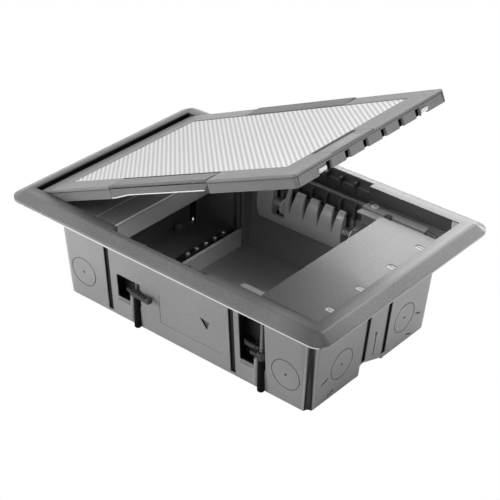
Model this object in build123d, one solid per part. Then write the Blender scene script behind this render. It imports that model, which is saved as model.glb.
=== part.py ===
from build123d import *
import math
import os

# Floor socket box for a raised or screeded floor.
# Millimetres. +X runs from the hinge end to the free end of the lid, +Y across, +Z up.
# The origin is at the centre of the trim frame, at the height of the tub's underside.

# Trim frame
trim_length = 324.0
trim_width = 224.0
trim_corner_radius = 12.0
trim_height = 8.0
trim_edge_height = 3.2
trim_slope_width = 9.0
trim_crest_radius = 6.0
trim_lip_wall = 2.0
trim_lip_depth = 12.3
trim_pocket_depth = 2.6
trim_pocket_width = 4.0
trim_edge_wall = 2.4
outlet_recess = 6.0
outlet_near_end = 45.0

# Tub
tub_height = 91.0
tub_base_length = 259.0
tub_base_width = 158.0
tub_corner_radius = 7.0
tub_draft = 4.6
tub_wall = 2.6
tub_floor = 3.0
tub_base_fillet = 2.0
wall_top = 85.5
ledge_level = 80.0
ledge_thickness = 2.0
collar_wall = 2.0
flange_thickness = 2.2
flange_width = 8.0
corner_groove_radius = 3.2
slot_depth = 1.6
panel_depth = 0.35

# Lid
lid_length = 283.3
lid_width = 184.4
lid_thickness = 10.3
lid_angle = 23.3
lid_free_x = 141.8
lid_side_gap = 0.9
lid_free_gap = 1.4
lid_hinge_gap = 5.8
lid_top_thickness = 2.5
lid_skirt = 2.2
lid_corner_radius = 2.0
lid_border_end = 21.5
lid_border_side = 18.2
insert_thickness = 2.0
insert_gap = 0.15
insert_seat = 6.0
tray_wall = 1.5
tray_rib_height = 4.5
hinge_inset = 3.7
hinge_drop = 7.9
hinge_pin_radius = 2.0
hinge_station_inset = 10.2
hinge_eye_width = 8.0
hinge_lug_width = 3.6
hinge_lug_gap = 0.5
hinge_lug_radius = 4.0
hinge_travel = 95.0

# Cable flaps
flap_length = 109.0
flap_gap = 0.5
flap_thickness = 2.0
flap_lip = 8.0
flap_lip_wall = 1.8
flap_barrel_radius = 1.35
flap_pin_radius = 0.6
flap_lift = 2.5
strip_thickness = 0.8

# Latch
latch_travel = 4.5
latch_station = 63.0
latch_nose_width = 8.0
latch_spring_station = 28.0
slide_plate_width = 49.0
slide_plate_offset = -23.5
slide_plate_thickness = 1.2
notch_pitch = 22.0
notch_width = 6.0

# Cover plates and rails
plate_thickness = 2.0
latch_plate_start = 80.4
latch_plate_near_over = 0.0
latch_plate_far_under = 3.6
hinge_plate_end = -71.0
hinge_plate_start = -131.5
hinge_plate_flange = 18.0
rail_start = 58.0
rail_hold = 7.0
rail_step_over = 1.0
rail_over = 8.5
rail_thickness = 1.5
rail_screw_x = 67.4
rail_screw_over = 5.4
rail_boss_over = 3.0

# Wiring fittings
divider_x = -64.5
divider_thickness = 2.6
divider_height = 16.0
guide_wall = 2.2
guide_height = 70.0
guide_height_near = 20.2
rib_pitch = 15.0
rib_thickness = 2.2
rib_depth = 3.5
rib_count = 7
rib_offset = 5.0
rib_low = 50.0
fin_pitch = 15.1
fin_thickness = 2.2
fin_count = 6
fin_offset = 1.5
comb_start = -46.0
comb_near_start = -40.6
comb_end = 44.5
comb_wall = 2.4
comb_radius = 36.0
comb_low = 40.0
comb_high = 77.0
comb_reach = 10.0
comb_recess_start = -29.5
comb_recess_end = -16.0
comb_pin_radius = 2.0
comb_pin_inset = 9.3
comb_washer_radius = 7.0
comb_spring_radius = 4.6
comb_pin_level = 61.0
comb_post_x = 60.0
earth_bar_x = -72.5
earth_bar_level = 14.0
earth_screw_x = -121.0
earth_screw_y = 52.0

# Floor clamps: the place of each along X, the side of the box and the top of its window
clamp_places = [(-47.1, -1, 44.5), (84.0, -1, 66.5), (-80.0, 1, 66.5), (84.0, 1, 66.5)]
clamp_over = 1.5
clamp_rod_radius = 1.9
clamp_fit = 0.05
clamp_sleeve_radius = 3.1
clamp_sleeve_low = 0.4
clamp_sleeve_high = 31.0
clamp_head_radius = 3.0
clamp_seat = 68.5
clamp_window_low = 21.6
clamp_house_wall = 1.6
clamp_column = 5.0
clamp_hub_radius = 3.9
clamp_nut_height = 3.4
clamp_tail = 11.5
clamp_arm = 20.0
clamp_arm_offset = 2.3
clamp_arm_width = 4.6
clamp_arm_height = 3.8
clamp_swung = -4.0
clamp_folded = 180.0

fit = 0.05
os.makedirs("parts", exist_ok=True)

trim_top = tub_height + trim_height
lid_top = trim_top
lid_low = lid_top - lid_thickness
lid_hinge_x = lid_free_x - lid_length
lid_under = lid_top - lid_top_thickness
hinge_x = lid_hinge_x + hinge_inset
hinge_z = lid_top - hinge_drop
opening_free_x = lid_free_x + lid_free_gap
opening_hinge_x = lid_hinge_x - lid_hinge_gap
opening_y = lid_width / 2 + lid_side_gap
lip_low = trim_top - trim_lip_depth
plate_low = wall_top
plate_top = plate_low + plate_thickness
draft_slope = math.tan(math.radians(tub_draft))
outlet_half = flap_length / 2 + flap_gap
flap_axis_y = lid_width / 2 - lid_border_side + 2.3
hinge_station = lid_width / 2 - hinge_station_inset
tub_half = tub_base_width / 2
latch_plate_near = tub_half + latch_plate_near_over
latch_plate_far = tub_half - latch_plate_far_under
rail_in = tub_half - rail_hold
rail_step = tub_half + rail_step_over
rail_out = tub_half + rail_over
rail_screw_y = tub_half + rail_screw_over
rail_boss_in = tub_half + rail_boss_over
clamp_out = tub_half + clamp_over
flap_axis_z = lid_top - 1.45


def block(x0, x1, y0, y1, z0, z1):
    """Rectangular block between two corners."""
    size = Box(abs(x1 - x0), abs(y1 - y0), abs(z1 - z0))
    return Pos((x0 + x1) / 2, (y0 + y1) / 2, (z0 + z1) / 2) * size


def slab(x0, x1, y0, y1, z0, z1, radius):
    """Block with rounded vertical corners."""
    outline = RectangleRounded(x1 - x0, y1 - y0, radius)
    return Pos((x0 + x1) / 2, (y0 + y1) / 2, z0) * extrude(outline, z1 - z0)


def rod_z(x, y, z0, z1, radius):
    """Upright round rod."""
    return Pos(x, y, (z0 + z1) / 2) * Cylinder(radius, z1 - z0)


def rod_y(x, z, y0, y1, radius):
    """Round rod along Y."""
    return Pos(x, (y0 + y1) / 2, z) * Rot(90, 0, 0) * Cylinder(radius, abs(y1 - y0))


def rod_x(y, z, x0, x1, radius):
    """Round rod along X."""
    return Pos((x0 + x1) / 2, y, z) * Rot(0, 90, 0) * Cylinder(radius, abs(x1 - x0))


def prism_x(points, x0, x1):
    """Prism along X with its outline given in Y and Z."""
    face = make_face(Polyline([(x0, y, z) for y, z in points], close=True))
    return extrude(face, x1 - x0, dir=(1, 0, 0))


def prism_y(points, y0, y1):
    """Prism along Y with its outline given in X and Z."""
    face = make_face(Polyline([(x, y0, z) for x, z in points], close=True))
    return extrude(face, y1 - y0, dir=(0, 1, 0))


def group(solids):
    """Separate solids kept together in one node."""
    return Compound(children=[s.solid() for s in solids])


def open_lid(shape):
    """Turn a piece drawn on the shut lid to the angle at which the lid stands."""
    axis = Axis((hinge_x, 0, hinge_z), (0, -1, 0))
    return shape.rotate(axis, lid_angle)


def base_half_x(z):
    """Half length of the tub's outer face at height z."""
    return tub_base_length / 2 + draft_slope * z


def base_half_y(z):
    """Half width of the tub's outer face at height z."""
    return tub_half + draft_slope * z


def tapered_tub(inset, z0, z1):
    """Drafted body of the tub between two heights, drawn in by inset."""
    length = 2 * (base_half_x(z0) - inset)
    width = 2 * (base_half_y(z0) - inset)
    outline = RectangleRounded(length, width, tub_corner_radius - inset / 2)
    return Pos(0, 0, z0) * extrude(outline, z1 - z0, taper=-tub_draft)


def collar(grow, z0, z1):
    """Rounded block around the lid opening, grown on all sides."""
    x0 = opening_hinge_x - grow
    x1 = opening_free_x + grow
    y = opening_y + grow
    return slab(x0, x1, -y, y, z0, z1, 1.0 + grow / 4)


def knockout_ring(plane, radius):
    """Shallow ring and centre dimple of a conduit knock-out, cut from a wall face."""
    ring = extrude(plane * (Circle(radius) - Circle(radius - 0.9)), -0.7, both=False)
    dimple = extrude(plane * Circle(1.1), -1.4)
    return [ring, dimple]


def wall_plane_y(x, z, side):
    """Plane on a long outer face of the tub with its normal pointing out."""
    origin = (x, side * base_half_y(z), z)
    return Plane(origin=origin, x_dir=(1, 0, 0), z_dir=(0, side, -draft_slope))


def wall_plane_x(y, z, side):
    """Plane on a short outer face of the tub with its normal pointing out."""
    origin = (side * base_half_x(z), y, z)
    return Plane(origin=origin, x_dir=(0, 1, 0), z_dir=(side, 0, -draft_slope))


def corner_grooves():
    """Slanting round grooves down the four corners of the tub."""
    cut = []
    pull = tub_corner_radius * (1 - math.sqrt(0.5))
    for sx in (-1, 1):
        for sy in (-1, 1):
            foot = Vector(sx * (base_half_x(-4) - pull), sy * (base_half_y(-4) - pull), -4)
            head = Vector(sx * (base_half_x(ledge_level) - pull),
                          sy * (base_half_y(ledge_level) - pull), ledge_level)
            lean = head - foot
            plane = Plane(origin=foot, z_dir=lean)
            cut.append(plane * Pos(0, 0, lean.length / 2) * Cylinder(corner_groove_radius, lean.length))
    return cut


def end_bay():
    """Raised notch under a short wall: the block that lines it and the cut itself."""
    outline = [(-15, -1), (-15, 11), (-11, 12), (17, 2), (17, -1)]
    lining = [(-15 - tub_wall, 0), (-15 - tub_wall, 12 + tub_wall), (-10, 12 + tub_wall),
              (17 + tub_wall, 2 + tub_wall), (17 + tub_wall, 0)]
    inner_x = base_half_x(0) - 9.0
    add = prism_x(lining, inner_x - tub_wall, base_half_x(0) - 0.6)
    cut = prism_x(outline, inner_x, base_half_x(0) + 6)
    return add, cut


def clamp_house(place, side, top):
    """Housing of a floor clamp inside a long wall, with the column around its screw."""
    wall = clamp_house_wall
    x0, x1 = clamp_window_ends(place)
    y_in = side * (clamp_pocket_in() - wall)
    y_out = side * base_half_y(wall_top)
    house = block(x0 - wall, x1 + wall, y_in, y_out, clamp_window_low - wall, top + wall)
    column = block(place - clamp_column, place + clamp_column, side * (clamp_out - clamp_column), y_out,
                   tub_floor - 0.5, clamp_seat)
    return house + column


def clamp_window_ends(place):
    """Ends along X of a clamp's window: the claw needs room to swing out."""
    reach = math.hypot(clamp_arm, clamp_arm_offset + clamp_arm_width)
    return place - reach - 0.4, place + clamp_hub_radius + 0.4


def clamp_pocket_in():
    """Distance of the back of a clamp's pocket from the middle of the box."""
    return clamp_out - clamp_arm_offset - clamp_arm_width - 0.5


def clamp_cuts(place, side, top):
    """Window and pocket of a floor clamp and the bores for its sleeve, rod and head."""
    x0, x1 = clamp_window_ends(place)
    y = side * clamp_out
    pocket = block(x0, x1, side * clamp_pocket_in(), side * (base_half_y(top) + 1), clamp_window_low, top)
    sleeve = rod_z(place, y, -1, clamp_window_low + 1, clamp_sleeve_radius + fit)
    rod = rod_z(place, y, top - 1, clamp_seat + 1, clamp_rod_radius + 0.3)
    head = rod_z(place, y, clamp_seat, wall_top + 1, clamp_head_radius + 0.3)
    return [pocket, sleeve, rod, head]


def clamp_cradle(place, side):
    """Sloping block and round column outside the wall that hold a clamp's sleeve."""
    x0 = clamp_window_ends(place)[0]
    y_foot = side * (base_half_y(0) - 1.0)
    y_pad = side * (clamp_out + 2.0)
    slope = [(y_foot, 4), (y_pad, 6), (y_pad, clamp_window_low - 2), (y_foot, clamp_window_low)]
    cradle = prism_x(slope, x0 + 0.6, place - 2)
    cradle += rod_z(place - 4.4, side * (clamp_out + 0.4), 6, clamp_sleeve_high - 0.6, 2.4)
    return cradle - rod_z(place, side * clamp_out, -1, clamp_sleeve_high, clamp_sleeve_radius + fit)


def shallow(cutter):
    """Keep only as much of a cutter as goes slot_depth into the tub's outer faces."""
    return cutter - tapered_tub(slot_depth, 0, wall_top)


def near_wall_marks():
    """Slots, three-sided hole and shallow panel in the near wall."""
    slots = [shallow(block(x, x + 5.4, -70, -90, 3.5, 66)) for x in (-81.4, 52)]
    hole = prism_y([(21.6, 42.5), (31.5, 40.5), (28.6, 32.6)], -base_half_y(50), -base_half_y(0) + tub_wall)
    panel = block(-22, 46, -70, -90, 16, 44) - tapered_tub(panel_depth, 0, wall_top)
    return slots + [hole, panel]


def end_wall_marks(side):
    """Slots, keyhole and slanting slits in a short wall."""
    x0, x1 = side * 118, side * 140
    cuts = [block(x0, x1, -14, -8.5, 13, ledge_level - 8)]
    cuts.append(block(x0, x1, 14.5, 20, 6, ledge_level - 8))
    cuts.append(block(x0, x1, 1.6, 3.0, 12, 34))
    cuts.append(rod_x(2.3, 34, x0, x1, 1.5))
    for way in (-1, 1):
        for y, z in ((66.4, 20.0), (56.6, 3.6)):
            slit = prism_x([(way * y, z), (way * (y - 7.5), z + 3.0), (way * (y - 7.5), z + 4.5), (way * y, z + 1.5)],
                           min(x0, x1), max(x0, x1))
            cuts.append(slit)
    return [shallow(cutter) for cutter in cuts]


def rail_bosses():
    """Bosses on the tops of the long walls for the rails' screws."""
    bosses = []
    for side in (-1, 1):
        boss = block(rail_screw_x - 4.2, rail_screw_x + 4.2, side * rail_boss_in, side * (rail_out + 0.4),
                     ledge_level, wall_top)
        bosses.append(boss - rod_z(rail_screw_x, side * rail_screw_y, ledge_level - 0.2, wall_top + 1, 1.5 + fit))
    return bosses


def make_tub():
    body = tapered_tub(0, 0, wall_top)
    body = fillet(body.faces().sort_by(Axis.Z)[0].edges(), tub_base_fillet)
    ledge = collar(trim_lip_wall + collar_wall + 0.4, ledge_level, ledge_level + ledge_thickness)
    wall = collar(trim_lip_wall + collar_wall + 0.4, ledge_level, tub_height)
    wall -= collar(trim_lip_wall + 0.4, ledge_level + ledge_thickness, tub_height + 1)
    flange = collar(trim_lip_wall + collar_wall + flange_width, tub_height - flange_thickness, tub_height)
    flange -= collar(trim_lip_wall + 0.4, ledge_level, tub_height + 1)
    body = body + ledge + wall + flange
    body -= tapered_tub(tub_wall, tub_floor, wall_top + 1)
    add, notch = end_bay()
    body = body + add - notch
    keep = tapered_tub(1.0, tub_floor - 0.5, wall_top)
    inner = divider_guides() + earth_posts() + wall_ribs() + comb_posts()
    inner += [clamp_house(*clamp) for clamp in clamp_places]
    body += [part & keep for part in inner]
    body += rail_bosses()
    cuts = []
    cradles = []
    for clamp in clamp_places:
        cuts += clamp_cuts(*clamp)
        cradles.append(clamp_cradle(clamp[0], clamp[1]))
    for side in (-1, 1):
        cuts += knockout_ring(wall_plane_y(108, 28.5, side), 14)
        for y in (-42, 42):
            cuts += knockout_ring(wall_plane_x(y, 28.5, side), 14)
        cuts += end_wall_marks(side)
        cuts.append(rod_z(rail_screw_x, side * rail_screw_y, ledge_level - 0.2, wall_top + 1, 1.5 + fit))
        cuts.append(rod_x(side * comb_pin_y(), comb_pin_level, comb_post_x - 4, comb_post_x + 2.1,
                          comb_pin_radius + fit))
    cuts += knockout_ring(wall_plane_y(-108, 28.5, -1), 14)
    cuts += near_wall_marks()
    cuts += corner_grooves()
    body = body - cuts + cradles
    for x, y in trim_screw_places():
        body -= rod_z(x, y, ledge_level, tub_height + 1, 1.75)
    body -= rod_z(earth_screw_x, earth_screw_y, 4, 11, 1.8 + fit)
    return body


def comb_pin_y():
    """Distance of the comb's pins from the middle of the box."""
    return base_half_y(comb_pin_level) - tub_wall - comb_pin_inset


def rib_places():
    first = rib_offset - rib_pitch * (rib_count - 1) / 2
    return [first + k * rib_pitch for k in range(rib_count)]


def wall_ribs():
    """Upright ribs inside the long walls, with pointed feet that stand in the comb's notches."""
    ribs = []
    low = base_half_y(rib_low) - tub_wall
    high = base_half_y(wall_top) - tub_wall
    points = [(low + 1, rib_low), (low, rib_low), (low - rib_depth, rib_low + 6),
              (high - rib_depth, wall_top - 3), (high - rib_depth + 3, wall_top), (high + 1, wall_top)]
    for x in rib_places():
        rib = prism_x(points, x - rib_thickness / 2, x + rib_thickness / 2)
        ribs += [rib, mirror(rib, about=Plane.XZ)]
    return ribs


def comb_posts():
    """Posts on the long walls that carry the outer ends of the comb's pins."""
    posts = []
    for side in (-1, 1):
        y0 = side * (comb_pin_y() - 4.5)
        y1 = side * base_half_y(wall_top)
        posts.append(block(comb_post_x - 2.5, comb_post_x + 2.5, y0, y1, comb_pin_level - 9, comb_pin_level + 9))
    return posts


def trim_screw_places():
    grow = trim_lip_wall + collar_wall + flange_width / 2 + 1.2
    x_high = opening_free_x + grow
    x_low = opening_hinge_x - grow
    return [(x, y) for x in (x_low, x_high) for y in (-70, 70)]


def divider_guides():
    """Upright channels on the long walls that hold the ends of the divider."""
    guides = []
    half = divider_thickness / 2 + 0.3
    for side in (-1, 1):
        y0 = side * (base_half_y(0) - tub_wall - 7)
        y1 = side * base_half_y(wall_top)
        high = guide_height if side > 0 else guide_height_near
        post = block(divider_x - half - guide_wall, divider_x + half + guide_wall, y0, y1, tub_floor - 0.5, high)
        slot = block(divider_x - half, divider_x + half, y0 - side, y0 + side * 4.5, tub_floor, high + 1)
        guides.append(post - slot)
    return guides


def earth_posts():
    """Moulded feet under the earth bar and the boss of the earth screw."""
    feet = [block(earth_bar_x - 3.5, earth_bar_x + 3.5, y - 4, y + 4, tub_floor - 0.5, earth_bar_level)
            for y in (2, 62)]
    boss = rod_z(earth_screw_x, earth_screw_y, tub_floor - 0.5, 10, 5)
    return feet + [boss]


def make_trim():
    half_x = trim_length / 2
    half_y = trim_width / 2
    body = trim_shoulder()
    lip = collar(trim_lip_wall, lip_low, tub_height)
    body = body + lip
    x0, x1, y = opening_hinge_x, opening_free_x, opening_y
    body -= block(x0, x1, -y, y, lip_low - 1, trim_top + 1)
    for side in (-1, 1):
        end = outlet_half if side > 0 else outlet_near_end
        body -= block(-outlet_half, end, side * (y - 1), side * (y + outlet_recess), lip_low - 1, trim_top + 1)
        body -= block(x1 - 1, x1 + trim_lip_wall + 1, side * latch_station - 5,
                      side * latch_station + 5, lip_low + 1.5, lip_low + 8)
    pocket_out_x = half_x - trim_edge_wall
    pocket_out_y = half_y - trim_edge_wall
    pocket = slab(-pocket_out_x, pocket_out_x, -pocket_out_y, pocket_out_y, tub_height - 1,
                  tub_height + trim_pocket_depth, trim_corner_radius - trim_edge_wall)
    land_x = pocket_out_x - trim_pocket_width
    land_y = pocket_out_y - trim_pocket_width
    pocket -= slab(-land_x, land_x, -land_y, land_y, tub_height - 1, tub_height + trim_pocket_depth,
                   trim_corner_radius - trim_edge_wall - trim_pocket_width)
    body -= pocket
    for x, y_place in trim_screw_places():
        body -= rod_z(x, y_place, tub_height - 1, tub_height + 4.5, 1.5 + fit)
    return body


def trim_shoulder():
    """Full outline of the trim frame with its sloping shoulder, rounded at the crest."""
    drop = trim_height - trim_edge_height
    angle = math.degrees(math.atan2(trim_slope_width, drop))
    half_x = trim_length / 2
    half_y = trim_width / 2
    foot = slab(-half_x, half_x, -half_y, half_y, tub_height, tub_height + trim_edge_height,
                trim_corner_radius)
    outline = RectangleRounded(trim_length, trim_width, trim_corner_radius)
    slope = Pos(0, 0, tub_height + trim_edge_height) * extrude(outline, drop, taper=angle)
    shape = foot + slope
    return fillet(shape.faces().sort_by(Axis.Z)[-1].edges(), trim_crest_radius)


def make_lid_frame():
    half_y = lid_width / 2
    x0, x1 = lid_hinge_x, lid_free_x
    top = slab(x0, x1, -half_y, half_y, lid_low, lid_top, lid_corner_radius)
    top = chamfer(top.faces().sort_by(Axis.Z)[-1].edges(), 0.6)
    inner = slab(x0 + lid_skirt, x1 - lid_skirt, -half_y + lid_skirt, half_y - lid_skirt,
                 lid_low - 1, lid_under, 0.8)
    body = top - inner
    seat_x0 = x0 + lid_border_end
    seat_x1 = x1 - lid_border_end
    seat_y = half_y - lid_border_side
    ring = block(seat_x0 - 4, seat_x1 + 4, -seat_y - 4, seat_y + 4, lid_under - insert_thickness, lid_under)
    body += ring
    body -= block(seat_x0, seat_x1, -seat_y, seat_y, lid_under, lid_top + 1)
    body -= block(seat_x0 + insert_seat, seat_x1 - insert_seat, -seat_y + insert_seat,
                  seat_y - insert_seat, lid_low, lid_top + 1)
    body = body + lid_ribs(seat_x0, seat_x1, seat_y)
    for side in (-1, 1):
        outer = side * (half_y + 1)
        body -= block(-outlet_half, outlet_half, outer, side * (seat_y + 4), lid_low - 1, lid_top + 1)
        body -= block(-outlet_half, outlet_half, side * (seat_y + 4.5), side * (seat_y + 0.25),
                      lid_under - 0.5, lid_top + 1)
        body -= rod_x(side * flap_axis_y, flap_axis_z, -outlet_half - 4, outlet_half + 4, flap_pin_radius + fit)
        body -= groove_lines(side, half_y)
        body -= hinge_clearance(side)
        body += hinge_lugs(side)
        body -= rod_y(hinge_x, hinge_z, side * (hinge_station - 12), side * (hinge_station + 8.2),
                      hinge_pin_radius + fit)
    body -= latch_openings(x1)
    body += latch_guides(x1)
    return body


def lid_ribs(seat_x0, seat_x1, seat_y):
    """Stiffening ribs between the skirt and the seat of the insert."""
    ribs = []
    low = lid_low + 1.5
    for side in (-1, 1):
        for x in (-100, -75, 75, 100):
            ribs.append(block(x - 0.8, x + 0.8, side * (seat_y + 3), side * (lid_width / 2 - 1), low, lid_under))
    for y in (-50, -25, 0, 25, 50):
        ribs.append(block(seat_x0 - 3, lid_hinge_x + 1, y - 0.8, y + 0.8, low + 3, lid_under))
    return ribs


def groove_lines(side, half_y):
    """Shadow lines just below the top edge of a long skirt, on both sides of the flap."""
    z = lid_top - 2.6
    y0 = side * (half_y - 0.4)
    y1 = side * (half_y + 1)
    free = block(outlet_half + 3, lid_free_x - 5, y0, y1, z, z + 0.6)
    return free + block(lid_hinge_x + 5, -outlet_half - 3, y0, y1, z, z + 0.6)


def hinge_clearance(side):
    """Notch in the hinge end of the skirt, which lets the bracket in."""
    y = side * hinge_station
    half = hinge_eye_width / 2 + hinge_lug_gap
    notch = block(lid_hinge_x - 1, hinge_x + 6, y - half, y + half, lid_low - 1, lid_under)
    return notch


def hinge_lugs(side):
    """Two lugs on each side of a hinge bracket, around the hinge pin."""
    lugs = []
    half = hinge_eye_width / 2 + hinge_lug_gap
    for start in (-half - hinge_lug_width, half):
        y0 = side * hinge_station + start
        disc = rod_y(hinge_x, hinge_z, y0, y0 + hinge_lug_width, hinge_lug_radius)
        web = block(lid_hinge_x, hinge_x + hinge_lug_radius, y0, y0 + hinge_lug_width, hinge_z, lid_under)
        lugs.append(disc + web)
    return lugs


def latch_openings(x1):
    """Notches along the free end, windows for the noses and the seat of the thumb slide."""
    cuts = []
    for k in (-2.5, -1.5, -0.5, 0.5, 1.5, 2.5):
        y = k * notch_pitch
        cuts.append(block(x1 - lid_skirt - 0.3, x1 + 1, y - notch_width / 2, y + notch_width / 2,
                          lid_low - 1, lid_low + 6.6))
    for side in (-1, 1):
        y = side * latch_station
        cuts.append(block(x1 - lid_skirt - 0.3, x1 + 1, y - latch_nose_width / 2 - 0.4,
                          y + latch_nose_width / 2 + 0.4, lid_low - 1, lid_low + 5.2))
        edge = side * (lid_width / 2 - lid_skirt)
        cuts.append(block(x1 - lid_skirt - 0.3, x1 + 1, edge, edge - side * 1.2, lid_low - 1, lid_under))
    y0 = slide_plate_offset - slide_plate_width / 2 - 0.4
    y1 = slide_plate_offset + slide_plate_width / 2 + 0.4
    plate_x0 = x1 - 15.5
    cuts.append(block(plate_x0 - latch_travel - 0.4, x1 + 1, y0, y1,
                      lid_top - slide_plate_thickness - 0.1, lid_top + 1))
    cuts.append(block(plate_x0 + 2.5 - latch_travel, plate_x0 + 9.5, slide_plate_offset - 7,
                      slide_plate_offset + 7, lid_under - 1, lid_top + 1))
    return cuts


def latch_guides(x1):
    """Pads above and tabs below the latch bar."""
    parts = []
    for side in (-1, 1):
        y = side * 44.0
        parts.append(block(x1 - 14, x1 - 1, y - 4, y + 4, lid_low + 4.7, lid_under + 0.1))
        parts.append(block(x1 - 14, x1 - 1, y - 4, y + 4, lid_low, lid_low + 1.2))
        stop = side * latch_spring_station
        parts.append(block(x1 - 21.8, x1 - 20.3, stop - 3, stop + 3, lid_low + 0.8, lid_under - 1))
    return parts


def make_latch_bar():
    x1 = lid_free_x
    z0 = lid_low + 1.4
    z1 = lid_low + 4.5
    body = block(x1 - 11, x1 - 4.2, -latch_station - 5, latch_station + 5, z0, z1)
    for side in (-1, 1):
        y = side * latch_station
        w = latch_nose_width / 2
        nose = prism_y([(x1 - 5, z0), (x1 + 0.2, z0), (x1 + 1.1, z0 + 1.4), (x1 + 1.1, z1), (x1 - 5, z1)],
                       y - w, y + w)
        body += nose
        body += rod_x(side * latch_spring_station, (z0 + z1) / 2, x1 - 14.5, x1 - 10, 0.9)
    return body


def make_thumb_slide():
    x0 = lid_free_x - 15.5
    y0 = slide_plate_offset - slide_plate_width / 2
    y1 = slide_plate_offset + slide_plate_width / 2
    plate = slab(x0, lid_free_x - 0.3, y0, y1, lid_top - slide_plate_thickness, lid_top - 0.02, 0.8)
    for x in (x0 + 4, x0 + 7, x0 + 10):
        plate -= rod_y(x, lid_top + 0.9, y0 + 8, y1 - 8, 1.3)
    stem = block(x0 + 4.7, x0 + 9.2, slide_plate_offset - 6, slide_plate_offset + 6,
                 lid_low + 4.5, lid_top - slide_plate_thickness)
    return plate + stem


def coil_spring(x0, x1, y, z, radius, wire, turns):
    """Coil spring along X."""
    path = Helix(pitch=(x1 - x0) / turns, height=x1 - x0, radius=radius)
    start = path @ 0
    tangent = path % 0
    section = Plane(origin=start, z_dir=tangent) * RegularPolygon(wire, 4)
    coil = sweep(section, path=path, is_frenet=True)
    return Pos(x0, y, z) * Rot(0, 90, 0) * coil


def make_latch_springs():
    z = lid_low + 2.95
    x1 = lid_free_x
    return group([coil_spring(x1 - 19.9, x1 - 11.4, side * latch_spring_station, z, 1.4, 0.3, 4)
                  for side in (-1, 1)])


def make_insert():
    x0 = lid_hinge_x + lid_border_end + insert_gap
    x1 = lid_free_x - lid_border_end - insert_gap
    y = lid_width / 2 - lid_border_side - insert_gap
    body = block(x0, x1, -y, y, lid_under, lid_top - 0.3)
    return chamfer(body.faces().sort_by(Axis.Z)[-1].edges(), 0.4)


def make_tray():
    """Folded steel tray that stiffens the lid under its insert."""
    x0 = lid_hinge_x + lid_border_end + insert_seat + 0.3
    x1 = lid_free_x - lid_border_end - insert_seat - 0.3
    y = lid_width / 2 - lid_border_side - insert_seat - 0.3
    low = lid_under - tray_rib_height - tray_wall
    body = block(x0, x1, -y, y, lid_under - tray_wall, lid_under)
    body += block(x0, x1, -y, -y + tray_wall, low, lid_under)
    body += block(x0, x1, y - tray_wall, y, low, lid_under)
    for rib in (-0.5, 0, 0.5):
        yr = rib * y
        hat = [(yr - 7, lid_under - tray_wall), (yr - 4.5, low), (yr + 4.5, low), (yr + 7, lid_under - tray_wall)]
        core = [(yr - 5.2, lid_under), (yr - 3.5, low + tray_wall), (yr + 3.5, low + tray_wall), (yr + 5.2, lid_under)]
        body = body + prism_x(hat, x0 + 8, x1 - 8) - prism_x(core, x0 + 6, x1 - 6)
    return body


def lift_flap(shape, side):
    """Raise a flap from flush by its resting lift."""
    axis = Axis((0, side * flap_axis_y, flap_axis_z), (1, 0, 0))
    return shape.rotate(axis, side * flap_lift)


def make_flap(side):
    half = flap_length / 2
    y_out = lid_width / 2 - 0.1
    lip = [(-half, lid_top - 3), (-half, lid_top - flap_lip - 1.8), (-half + 4, lid_top - flap_lip - 1.8),
           (-half + 20, lid_top - flap_lip), (half - 5, lid_top - flap_lip), (half, lid_top - flap_lip + 3),
           (half, lid_top - 3)]
    y0 = y_out - flap_lip_wall
    body = prism_y(lip, y0, y_out)
    body += block(-half, half, flap_axis_y, y_out, lid_top - flap_thickness, lid_top)
    body += rod_x(flap_axis_y, flap_axis_z, -half, half, flap_barrel_radius)
    body -= block(-half - 1, half + 1, flap_axis_y - 3, flap_axis_y, lid_top - 0.1, lid_top + 1)
    for x in (-30, 0, 30):
        body += prism_x([(y0 - 6, lid_top - 1), (y0 + 0.5, lid_top - 1), (y0 + 0.5, lid_top - flap_lip + 1)],
                        x - 0.8, x + 0.8)
    body -= rod_x(flap_axis_y, flap_axis_z, -half - 1, half + 1, flap_pin_radius + fit)
    if side < 0:
        body = mirror(body, about=Plane.XZ)
    return lift_flap(body, side)


def make_flap_strip(side):
    """Bright metal edge strip along the foot of a flap's lip."""
    half = flap_length / 2
    y_out = lid_width / 2 - 0.1
    z = lid_top - flap_lip
    line = [(-half, z - 1.8), (-half + 4, z - 1.8), (-half + 20, z), (half - 5, z), (half - 5, z - strip_thickness),
            (-half + 19.8, z - strip_thickness), (-half + 4.2, z - 1.8 - strip_thickness),
            (-half, z - 1.8 - strip_thickness)]
    strip = prism_y(line, y_out - flap_lip_wall, y_out)
    if side < 0:
        strip = mirror(strip, about=Plane.XZ)
    return lift_flap(strip, side)


def make_flap_pins():
    return group([rod_x(side * flap_axis_y, flap_axis_z, -outlet_half - 3.8, outlet_half + 3.8, flap_pin_radius)
                  for side in (-1, 1)])


def make_hinge_brackets():
    """Brackets that stand on the tub's ledge and carry the hinge pins."""
    parts = []
    foot = ledge_level + ledge_thickness
    wall_x = -base_half_x(wall_top) - 0.6
    for side in (-1, 1):
        y0 = side * hinge_station - hinge_eye_width / 2
        y1 = y0 + hinge_eye_width
        eye = rod_y(hinge_x, hinge_z, y0, y1, hinge_lug_radius)
        neck_x0 = hinge_x - hinge_lug_radius
        neck = block(neck_x0, wall_x, y0, y1, foot, hinge_z)
        base = block(neck_x0 - 3, wall_x, y0 - 0.4 - hinge_lug_width, y1, foot, foot + 2)
        bore = rod_y(hinge_x, hinge_z, y0 - 1, y1 + 1, hinge_pin_radius + fit)
        parts.append(eye + neck + base - bore)
    return group(parts)


def make_hinge_pins():
    return group([rod_y(hinge_x, hinge_z, side * hinge_station - 8, side * hinge_station + 8, hinge_pin_radius)
                  for side in (-1, 1)])


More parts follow.
